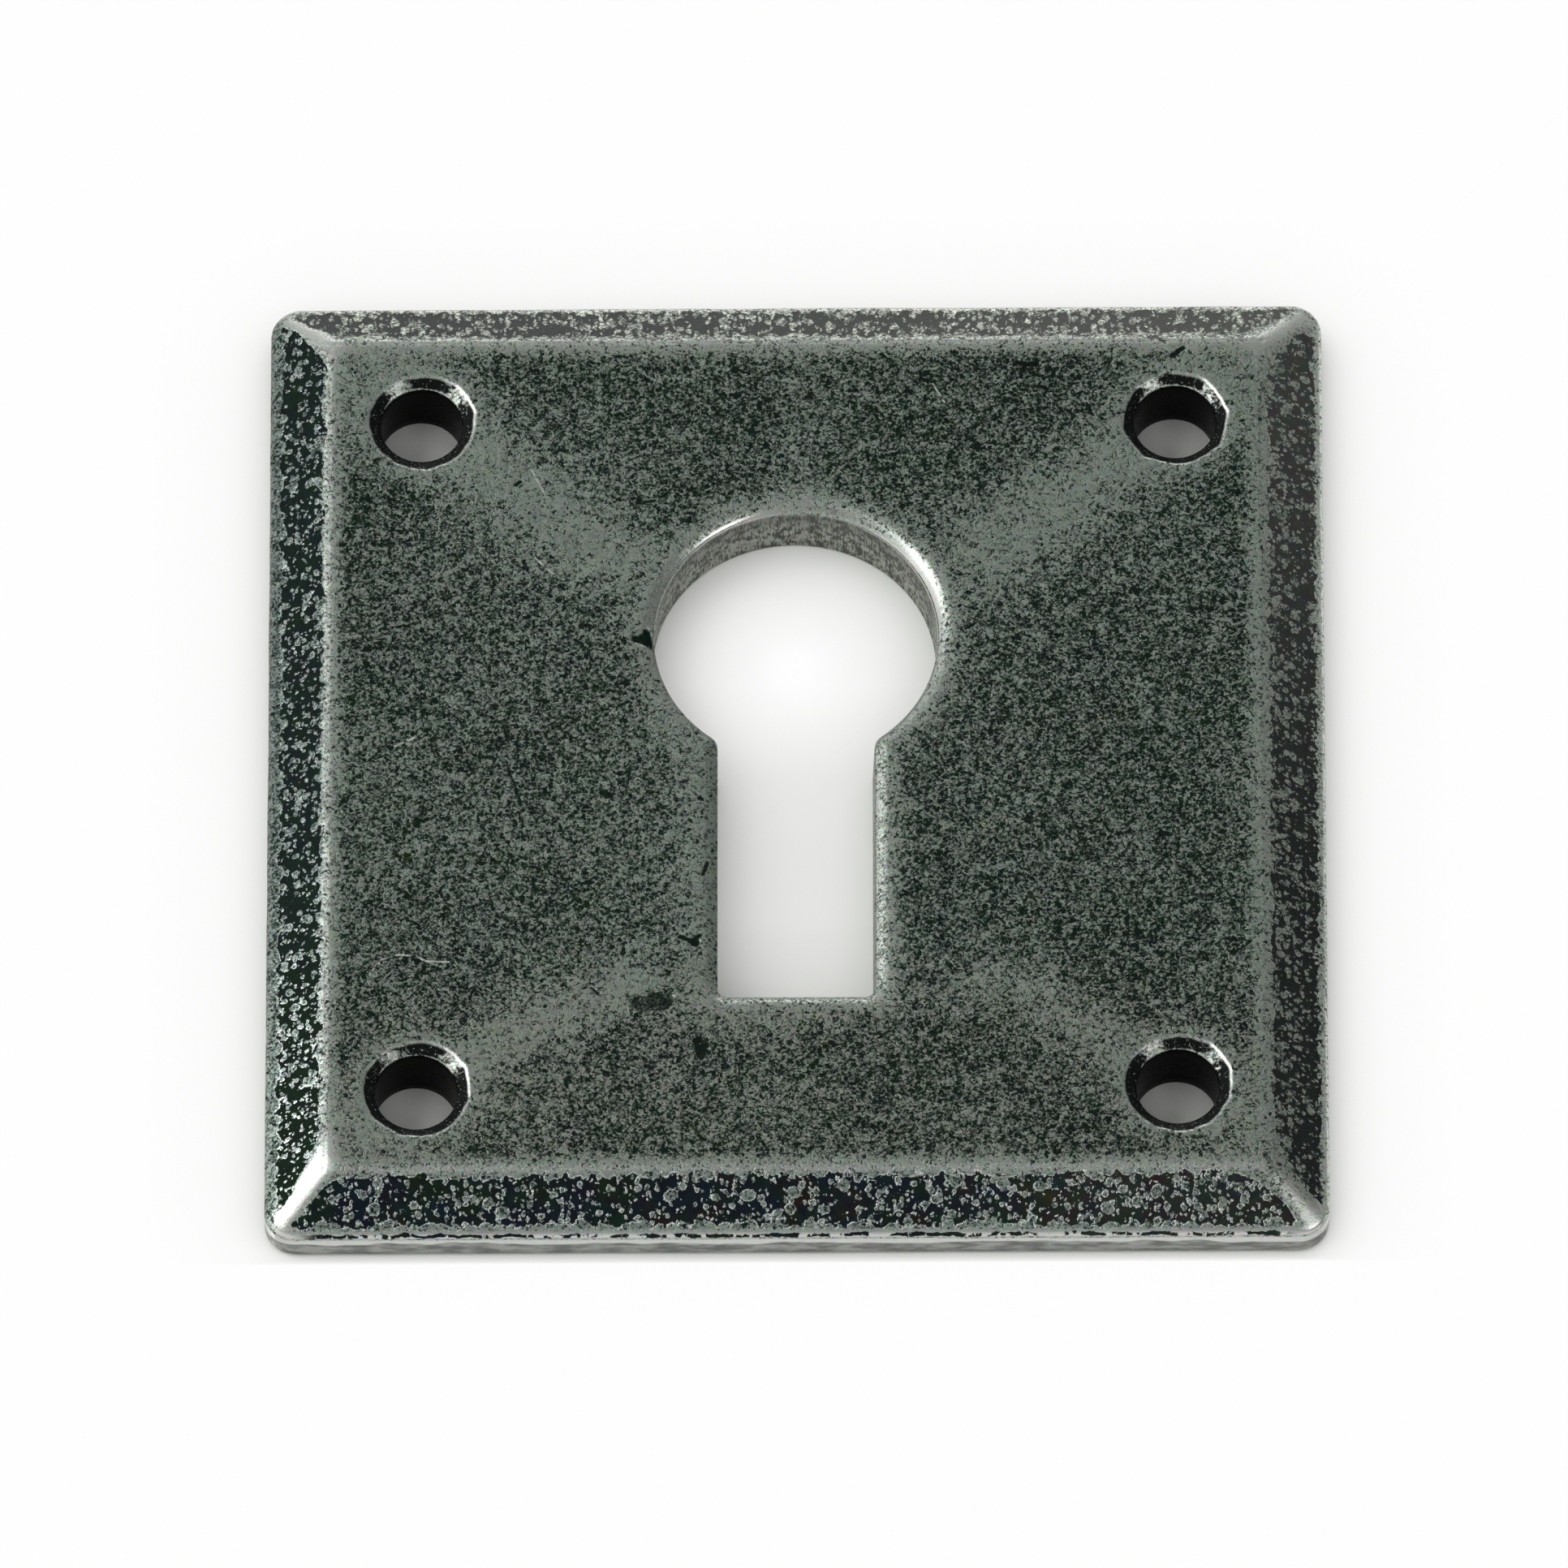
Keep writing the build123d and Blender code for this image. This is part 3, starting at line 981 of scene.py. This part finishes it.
# %% Dents and scratches at the points
DENT_SOFT, DARK_SOFT = 0.14, 0.2
FAR_AWAY = 9.0
dent_depth, dent_dark = np.zeros(len(even)), np.zeros(len(even))
front_side = pz > THICKNESS - 0.6
for line, half, depth, dark in DENTS:
    gap = np.where(front_side, line_distance(px, py, line) - half, FAR_AWAY)
    dent_depth = np.maximum(dent_depth, depth * np.clip(0.5 - gap / DENT_SOFT, 0, 1))
    dent_dark = np.maximum(dent_dark, dark * np.clip(0.62 - gap / DARK_SOFT, 0, 1))
scratch = np.zeros(len(even))
for line in SCRATCHES:
    gap = np.where(front_side, line_distance(px, py, line), FAR_AWAY)
    scratch = np.maximum(scratch, np.clip(1.3 - gap / SCRATCH_HALF, 0, 1))
print("dented points", int((dent_depth > 0).sum()), "scratched points", int((scratch > 0).sum()))

# %% [markdown]
# ## Pressing the relief in
#
# The relief only ever goes inward from the drawing, so that the casting keeps the size of the solid: the black
# ground of the slope lies a little below its islands, edges wander, the face dips towards its own edge, and the
# dents are sunk. Each point moves along its own normal. The shoulder of the keyhole is lowered straight down.

# %% Relief
GROUND_DEPTH, WANDER_DEPTH, EDGE_DIP = 0.035, 0.05, 0.03
SHOULDER_WEAR, RIGHT_WEAR = 0.08, 0.15
relief = np.zeros(len(even))
relief[:border_total] += GROUND_DEPTH * np.clip(0.5 - rubbed * 0.6, 0, 1)
wander = np.clip(0.5 + 0.5 * waves(border_even, 2.2, 8), 0, 1)
relief[:border_total] += WANDER_DEPTH * wander * rise(climb, -1.9, 0.5) * fall(climb, 3.5, 0.4)
near_edge = (on_face | (np.arange(len(even)) < border_total)) & (edge_distance > -0.4)
relief += EDGE_DIP * near_edge * fall(past_edge, 1.3, 1.3) ** 2
relief += dent_depth
wear_reach = 1.5 - 0.5 * right_wear_and_highlight
drop = SHOULDER_WEAR + RIGHT_WEAR * right_wear_and_highlight
drop *= fall(np.maximum(to_keyhole, 0), wear_reach, wear_reach) ** 2
shape = even - outward * relief[:, None]
shape[:, 2] -= np.where(shoulder_point, drop, 0)
shape[:, 2] = np.clip(shape[:, 2], 0, THICKNESS)
print("deepest relief", round(float(relief.max()), 3), "mm")

# %% Guides of the screw holes
hole, mouth = np.zeros(len(even)), np.zeros(len(even))
HOLE_STAGES = [0, 0.3, 0.6, 1, 1, 1, 1, 1.15, 1.6] + [2] * 8
# Middle and width in degrees of each painted highlight on a mouth, bare metal at the same angles on every hole,
# and its strength.
MOUTH_HIGHLIGHTS = ((121, 19, 0.78), (42, 20, 0.72))
for hole_data, starts in zip(HOLES, hole_starts):
    here = slice(starts[0], starts[-1] + HOLE_COUNT)
    hole[here] = np.repeat(HOLE_STAGES, HOLE_COUNT)
    angle = np.degrees(np.arctan2(py[here] - hole_data["y"], px[here] - hole_data["x"]))
    # Painted highlights: metal at the same angles on every mouth.
    flats = sum(strength * near_to(angle - middle, width) for middle, width, strength in MOUTH_HIGHLIGHTS)
    # A painted highlight along the far edge of each bore.
    bore_edge_highlight = rise(np.sin(np.radians(angle)), 0.35, 0.25)
    mouth[here] = np.where(hole[here] == 1.15, 0.8 * bore_edge_highlight, np.where(hole[here] > 0.5, flats, 0))
    # The mouth's outer rim is polished, with a painted highlight towards the right that is the same on every
    # hole.
    rim_polish_and_highlight = 0.32 + 0.4 * near_to(angle - 25, 35)
    polish[here] = np.where(hole[here] < 0.1, 0, np.where(hole[here] < 0.8, rim_polish_and_highlight, 0.4))
print("screw holes' points", int((hole > 0).sum()))

# %% Keep the finish's guides with the points
rubbed_all = np.full(len(even), 2.0)
rubbed_all[:border_total] = rubbed
climb_all = border_climb[-1] + past_edge
climb_all[:border_total] = climb
gleam, crowd, tone = np.ones(len(even)), np.zeros(len(even)), np.ones((len(even), 4))
warm_band = np.where(nearest_side == 2, near_to(past_edge, 0.6), 0)
warm_foot = fall(py, -10, 4)
warmth = np.outer(warm_band, (0.1, 0.07, 0.04)) + np.outer(warm_foot, (0.05, 0.0, 0.0))
tone[:, :3] += warmth * on_face[:, None]
gleam[:border_total], crowd[:border_total], tone[:border_total, :3] = border_painted_glint, border_crowd, border_tone_and_light
guides = dict(
    rub=rub, rubbed=rubbed_all, climb=climb_all, polish=polish, wall=wall, hole=hole, mouth=mouth,
    dent=dent_dark, scratch=scratch, gleam=gleam, crowd=crowd,
)
for name, values in guides.items():
    skin_mesh.attributes.new(name, "FLOAT", "POINT").data.foreach_set("value", values.astype(np.float32))
tone_store = skin_mesh.attributes.new("tone", "FLOAT_COLOR", "POINT")
tone_store.data.foreach_set("color", tone.astype(np.float32).ravel())
skin_mesh.vertices.foreach_set("co", (shape * MM).ravel())
skin_mesh.update()
sheet = skin_mesh.uv_layers.new(name="OFBake")
sheet.data.foreach_set("uv", np.array([c for corners in sheet_places for c in corners]).ravel())
skin = bpy.data.objects.new("escutcheon_skin", skin_mesh)
bpy.context.scene.collection.objects.link(skin)
print("guides", list(guides))

# %% [markdown]
# ## The patina
#
# The finish has two parts: bare grey metal and black patina. One number, the share of metal, mixes them. It
# drives the colour, the metallic value and the roughness together, as on the real plate. An image could be
# laid over the plate instead, but noise and the guides of the points hold at any distance and need no picture.

# %% Patina and its place in millimetres
patina = bpy.data.materials.new("rubbed_patina")
patina.use_nodes = True
tree = patina.node_tree
shader = tree.nodes["Principled BSDF"]
in_mm = scaled(node("TexCoord").outputs["Object"], 1 / MM)
x_place, y_place, z_place = coordinates(in_mm)
print("patina on", shader.name)


# %% Helpers for the patina
def ease(*given):
    """A ramp with soft ends."""
    return ramp(*given, ends="SMOOTHSTEP")


def blend(share, first, second):
    """A mix of two colours, each a node's result or plain."""
    first, second = (c if isinstance(c, bpy.types.NodeSocket) else (*c, 1.0) for c in (first, second))
    return node("Mix", {"Factor": share, 6: first, 7: second}, data_type="RGBA").outputs[2]


def guide(name, output="Fac"):
    return node("Attribute", attribute_name=name).outputs[output]


def stretched(x, y, z):
    return times(in_mm, (x, y, z))


def grain(size, detail=2.0, rough=0.5, wander=0.0, place=None):
    """Cloudy values around 0.5 that change over about the given size in millimetres."""
    sockets = {"Vector": place or in_mm, "Scale": 1 / size, "Detail": detail}
    sockets.update({"Roughness": rough, "Distortion": wander})
    return node("TexNoise", sockets).outputs["Fac"]


def centred(value):
    """The same clouds around 0."""
    return maths("SUBTRACT", value, 0.5)


def added(first, second, weight):
    """The first value with a weighted part of the second."""
    return maths("MULTIPLY_ADD", second, weight, first)


def without(value, share):
    """What is left of a value where a share of it is covered."""
    return product(value, maths("SUBTRACT", 1.0, share))


def turned(value, goal, share):
    """A value turned into another by a share."""
    return maths("ADD", value, product(share, maths("SUBTRACT", goal, value)))


def drift(size, strength):
    """A colour close to white that drifts between warm, green and blue."""
    clouds = node("TexNoise", {"Vector": in_mm, "Scale": 1 / size}).outputs["Color"]
    sockets = {0: clouds, 1: (strength,) * 3, 2: (1 - strength / 2,) * 3}
    return node("VectorMath", sockets, operation="MULTIPLY_ADD").outputs[0]


print("patina helpers ready")

# %% [markdown]
# ### Mottle of the face
#
# Seen close, the face is a crowd of short dark strokes between grey crumbs, a quarter of a millimetre in size.
# Cloudy noise with a little wander gives such worms. The rub map shifts the balance between dark and light.

# %% Share of metal on the face
rub_guide, rubbed_guide, climb_guide = guide("rub"), guide("rubbed"), guide("climb")
polish_guide = guide("polish")
worms = grain(0.16, 2.0, 0.6, 0.8)
clusters = grain(0.6, 2.0, 0.55, 0.4)
mottle = added(product(centred(clusters), 1.5), centred(worms), 4.9)
mottle = product(mottle, ease(polish_guide, 0.4, 0.56, 1.0, 0.28))
mottle = product(mottle, ease(rub_guide, 0.1, 0.38, 1.0, 0.9))
stroke_lines = maths("ABSOLUTE", centred(grain(0.4, 1.0, 0.5, 0.6, stretched(1.0, 1.3, 1.0))))
stroke_gate = maths("SUBTRACT", grain(0.33, 1.0), product(rub_guide, 0.4))
strokes = product(ease(stroke_lines, 0.035, 0.01), ease(stroke_gate, 0.5, 0.58))
strokes = product(strokes, ease(polish_guide, 0.1, 0.5, 1.0, 0.0))
polished_level = added(0.56, polish_guide, 0.9)
face_metal = maths("ADD", maths("ADD", mottle, rub_guide), polished_level, clamp=True)
face_metal = product(face_metal, added(1.0, strokes, -0.8))
print("face of", len(tree.nodes), "nodes so far")

# %% [markdown]
# ### Islands of the slope
#
# The guide of the points gives the larger islands. Fine noise roughens their outlines, and a scatter of specks
# adds those that are too small for the net. Their rims are the highest part and so are polished brightest; how
# brightly they shine on each side is a painted glint.

# %% Where the specks lie
up_the_top = higher(maths("SUBTRACT", y_place, 21.5), 0.0)
speck_place = node("CombineXYZ", {"X": x_place, "Y": added(y_place, up_the_top, -0.45)}).outputs[0]
push = node("TexNoise", {"Vector": in_mm, "Scale": 3.0}).outputs["Color"]
pushed_sockets = {0: push, 1: (0.35, 0.35, 0.0), 2: speck_place}
pushed = node("VectorMath", pushed_sockets, operation="MULTIPLY_ADD").outputs[0]


def specks(cell, chance, largest):
    """Level of uneven specks, one at most in each cell of the given size, measured as the islands are."""
    cells = node("TexVoronoi", {"Vector": pushed, "Scale": 1 / cell}, voronoi_dimensions="2D")
    luck = node("SeparateColor", {0: cells.outputs["Color"]}).outputs[0]
    size = ease(luck, 1 - chance, 1.0, -0.3, largest / cell)
    return product(maths("SUBTRACT", size, cells.outputs["Distance"]), cell / ISLAND_EDGE)


print("specks ready")

# %% Share of metal on the slope
ragged = centred(grain(0.13, 2.0, 0.6, 0.4))
island_level = added(rubbed_guide, ragged, 1.0)
speck_level = maths("ADD", higher(specks(0.45, 0.8, 0.17), specks(0.3, 0.75, 0.12)), guide("crowd"))
speck_level = added(higher(speck_level, specks(0.2, 0.6, 0.07)), ragged, 0.7)
island_level = higher(island_level, speck_level)
slope_metal = ease(island_level, -0.12, 0.12)
gleam_guide = guide("gleam")
island_rim = product(slope_metal, ease(island_level, 0.36, 0.1))
# Painted glints on the rims, as strong as each side's glint guide.
rim_painted_glint = product(gleam_guide, ease(grain(0.3, 1.0), 0.35, 0.6, 0.35, 1.0))
island_rim = product(island_rim, rim_painted_glint)
print("slope of", len(tree.nodes), "nodes so far")

# %% [markdown]
# ### Walls, bores, dents and scratches
#
# The keyhole's wall is brushed along its depth and browner. The mouths of the screw holes are black, with metal
# shown in patches at the same places on every hole as painted highlights, and the bores are black. Dents are
# full of patina, and scratches are bare metal.

# %% Walls, mouths, bores and marks
wall_guide, hole_guide, dent_guide = guide("wall"), guide("hole"), guide("dent")
wall_streaks = grain(0.1, 3.0, 0.7, 0.2, stretched(1.0, 1.0, 0.25))
wall_streaks = added(wall_streaks, centred(grain(0.5, 1.0)), 0.5)
wall_share = ease(wall_guide, 0.55, 1.0)
# Metal in the mouths where the painted highlights lie.
mouth_metal = ease(added(guide("mouth"), centred(grain(0.28, 3.0, 0.65, 0.5)), 2.2), 0.32, 0.8)
mouth_metal = higher(mouth_metal, ease(grain(0.1, 1.0), 0.66, 0.74, 0.0, 0.6))
mouth_share = ease(hole_guide, 0.5, 0.95)
bore_share = ease(hole_guide, 1.2, 1.7)
dent_level = maths("ADD", dent_guide, product(centred(grain(0.16, 2.0, 0.6, 0.5)), 1.1))
dent_share = product(ease(dent_level, 0.5, 0.72), ease(dent_guide, 0.02, 0.2))
bare_share = product(guide("scratch"), ease(grain(0.3, 1.0), 0.34, 0.48))
flecks = product(ease(grain(0.2, 1.0), 0.74, 0.8, 0.0, 0.7), ease(climb_guide, 3.2, 3.5))
flecks = product(flecks, maths("SUBTRACT", 1.0, higher(mouth_share, bore_share), clamp=True))
bare_share = higher(bare_share, flecks)
print("walls and marks of", len(tree.nodes), "nodes so far")

# %% [markdown]
# ### The upright side
#
# A broken black line runs along the upper edge of the near side. Below it the side is polished, with a grey
# band towards its foot, and along the foot itself it is darkest: painted shade where the side shows the
# shadowed paper next to it. All follow the climb, so they need no guide of their own.

# %% Patina and painted shade on the upright side
line_wander = added(climb_guide, centred(grain(0.7, 2.0, 0.6)), 0.5)
line_gaps = ease(grain(0.6, 3.0, 0.65, 0.0, stretched(1.0, 1.0, 0.3)), 0.44, 0.49)
on_lower_side = product(ease(y_place, -24.0, -24.4), ease(maths("ABSOLUTE", x_place), 23.8, 22.4))
side_black_and_shade = product(ease(maths("ABSOLUTE", line_wander), 0.14, 0.08), product(line_gaps, on_lower_side))
streak_place = added(maths("ADD", climb_guide, 0.76), centred(grain(2.6, 1.0)), 0.9)
streak_strength = ease(grain(0.5, 2.0, 0.6, 0.0, stretched(0.3, 1.0, 1.0)), 0.36, 0.62, 0.42, 0.72)
side_black_and_shade = higher(side_black_and_shade, product(ease(streak_place, 0.12, -0.04), streak_strength))
# Painted shade along the foot of the side.
side_black_and_shade = higher(side_black_and_shade, ease(climb_guide, -1.62, -1.8, 0.0, 0.8))
print("side of", len(tree.nodes), "nodes so far")

# %% Share of metal, all together
metal_share = without(product(face_metal, slope_metal), side_black_and_shade)
metal_share = higher(metal_share, product(island_rim, 0.9))
metal_share = turned(metal_share, 0.9, wall_share)
metal_share = turned(metal_share, mouth_metal, mouth_share)
metal_share = without(without(metal_share, bore_share), dent_share)
metal_share = maths("MAXIMUM", metal_share, bare_share, clamp=True)
print("share of metal after", len(tree.nodes), "nodes")

# %% [markdown]
# ### Colours
#
# Rubbed metal on the face is a greenish grey, because thin patina stays on it. Polished edges are lighter and
# neutral. The black is not quite neutral either: it drifts between green, blue and brown.

# %% Colours of the metal
DULL_METAL, FACE_METAL = (0.228, 0.267, 0.232), (0.292, 0.341, 0.296)
POLISHED_METAL = (0.58, 0.585, 0.56)
DARK_WALL, LIGHT_WALL = (0.088, 0.094, 0.081), (0.43, 0.447, 0.4)
# Painted glints: the polished metal lighter and darker in small spots, most on the sides with strong glints.
painted_sparkle = product(centred(grain(0.11, 1.0)), product(gleam_guide, 2.2))
painted_sparkle = product(painted_sparkle, ease(polish_guide, 0.55, 0.75, 1.0, 0.0))
polished = product(polish_guide, maths("ADD", painted_sparkle, 1.0))
shine = maths("MAXIMUM", polished, higher(product(island_rim, 0.95), bare_share), clamp=True)
face_tone = blend(ease(grain(0.35, 2.0, 0.6), 0.32, 0.68), DULL_METAL, FACE_METAL)
metal_colour = blend(shine, face_tone, POLISHED_METAL)
wall_tone = product(ease(wall_streaks, 0.41, 0.59), ease(z_place, 1.2, 2.9, 1.0, 0.55))
metal_colour = blend(wall_share, metal_colour, blend(wall_tone, DARK_WALL, LIGHT_WALL))
metal_colour = times(times(metal_colour, guide("tone", "Color")), drift(0.32, 0.34))
print("metal from", DULL_METAL, "to", POLISHED_METAL)

# %% Black of the left and lower slopes
LEFT_BLACK_LOW, LEFT_BLACK_HIGH = (0.0028, 0.0122, 0.0048), (0.0024, 0.01, 0.0078)
GREEN_BLACK, BLUE_BLACK = (0.006, 0.0135, 0.009), (0.0055, 0.0095, 0.0155)
BROWN_BLACK, GREY_BLACK = (0.0115, 0.0098, 0.0078), (0.021, 0.0245, 0.02)
MITRE_SOFT = 0.3
x_reach, y_reach = maths("ABSOLUTE", x_place), maths("ABSOLUTE", y_place)
on_bottom = ease(maths("ADD", y_place, x_reach), MITRE_SOFT, -MITRE_SOFT)
left_black = blend(ease(y_place, -16.0, -6.0), LEFT_BLACK_LOW, LEFT_BLACK_HIGH)
slope_black = blend(on_bottom, left_black, GREEN_BLACK)
slope_black = blend(product(ease(grain(2.4, 1.0), 0.36, 0.6), on_bottom), slope_black, BLUE_BLACK)
brown_share = product(ease(grain(1.7, 1.0), 0.5, 0.72), ease(x_place, -12.0, 0.0, 0.2, 1.0))
slope_black = blend(brown_share, slope_black, BROWN_BLACK)
slope_black = blend(product(on_bottom, ease(x_place, 4.0, 16.0, 0.0, 0.7)), slope_black, GREY_BLACK)
slope_black = times(slope_black, drift(0.6, 1.9))
print("blacks of the left and lower slopes mixed")

# %% Black of the other slopes, the face and the holes
# The top slope's blacks are painted far lighter than the others: a painted sheen of the far slope.
TOP_BLACKS_WITH_SHEEN = (0.053, 0.058, 0.056), (0.074, 0.077, 0.072)
RIGHT_BLACKS = (0.0125, 0.0155, 0.0148), (0.046, 0.048, 0.0455)
FACE_BLACK, MOUTH_BLACK = (0.0047, 0.0115, 0.0072), (0.004, 0.0055, 0.0048)
BORE_BLACK = (0.0018, 0.0019, 0.0017)
on_top_slope = ease(maths("SUBTRACT", y_place, x_reach), -MITRE_SOFT, MITRE_SOFT)
on_right_slope = ease(maths("SUBTRACT", x_place, y_reach), -MITRE_SOFT, MITRE_SOFT)
# Painted sheen on the top slope's black.
slope_black = blend(on_top_slope, slope_black, blend(ease(x_place, -16.0, 18.0), *TOP_BLACKS_WITH_SHEEN))
right_black = times(blend(ease(y_place, -10.0, 22.0), *RIGHT_BLACKS), drift(0.6, 0.9))
slope_black = blend(on_right_slope, slope_black, right_black)
face_black = times(times(drift(0.5, 1.6), drift(3.0, 0.8)), FACE_BLACK)
black_colour = blend(ease(climb_guide, 3.0, 3.6), slope_black, face_black)
black_colour = blend(mouth_share, black_colour, MOUTH_BLACK)
black_colour = blend(bore_share, black_colour, BORE_BLACK)
put(shader.inputs["Base Color"], blend(metal_share, black_colour, metal_colour))
put(shader.inputs["Metallic"], metal_share)
print("colours after", len(tree.nodes), "nodes")

# %% Roughness and fine relief
METAL_ROUGH, BLACK_ROUGH = 0.34, 0.32
RELIEF_HEIGHT = 0.000018
metal_rough = added(METAL_ROUGH, shine, -0.12)
metal_rough = added(metal_rough, ease(wall_guide, 0.8, 1.0), 0.13)
crisp_share = product(ease(wall_guide, 0.05, 0.2), ease(wall_guide, 0.95, 0.8))
metal_rough = added(metal_rough, crisp_share, -0.1)
surface_rough = ease(metal_share, 0.0, 1.0, BLACK_ROUGH, metal_rough)
crumbs = grain(0.09, 1.0, 0.5, 0.3)
put(shader.inputs["Roughness"], added(surface_rough, centred(crumbs), 0.15))
shader.inputs["Specular IOR Level"].default_value = 0.05
island_height = product(ease(island_level, -0.3, 0.35), 1.8)
height = maths("ADD", maths("ADD", face_metal, island_height), product(worms, 0.4))
fine_relief = node("Bump", {"Strength": 1.0, "Distance": RELIEF_HEIGHT, "Height": height})
put(shader.inputs["Normal"], fine_relief.outputs["Normal"])
skin_mesh.materials.append(patina)
print("patina of", len(tree.nodes), "nodes")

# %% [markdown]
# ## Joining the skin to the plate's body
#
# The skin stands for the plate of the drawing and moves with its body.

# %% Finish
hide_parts("escutcheon_plate")
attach(skin, "root")
